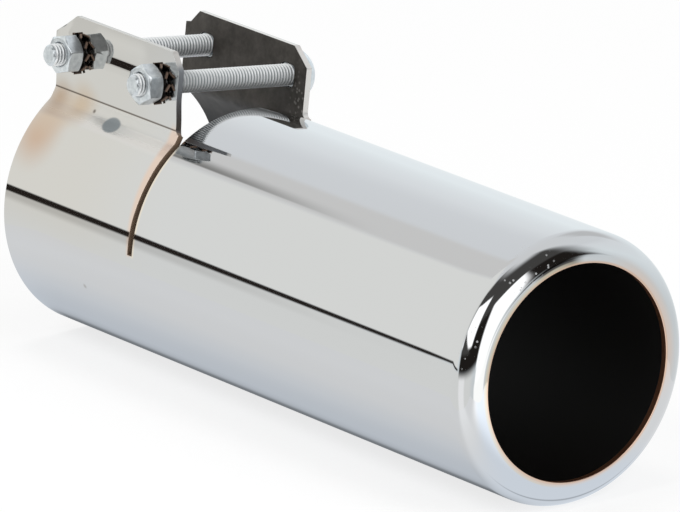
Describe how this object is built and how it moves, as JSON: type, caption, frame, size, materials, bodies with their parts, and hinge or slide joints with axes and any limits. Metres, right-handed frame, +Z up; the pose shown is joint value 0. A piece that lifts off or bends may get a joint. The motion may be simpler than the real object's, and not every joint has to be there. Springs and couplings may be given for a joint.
{
  "type": "exhaust tip",
  "caption": "Chromed clamp-on exhaust tip: a straight tube with a turned-in outlet lip and a split rear clamp whose folded-up ears are drawn together by bolts, nuts and toothed lock washers.",
  "frame": {"origin": "centre of the open rear end, on the tube's axis", "axes": "+X along the tube from the rear end to the outlet, +Y to the side with the bolt heads, +Z up to the clamping ears"},
  "size_m": [0.1665, 0.06, 0.0723],
  "materials": {
    "chrome_plated_steel": "polished",
    "zinc_plated_steel": "satin",
    "blackened_spring_steel": "satin"
  },
  "bodies": {
    "root": {"tip_tube": "chrome_plated_steel", "clamp_bolts": "zinc_plated_steel", "clamp_nuts": "zinc_plated_steel", "lock_washers": "blackened_spring_steel"}
  },
  "joints": []
}
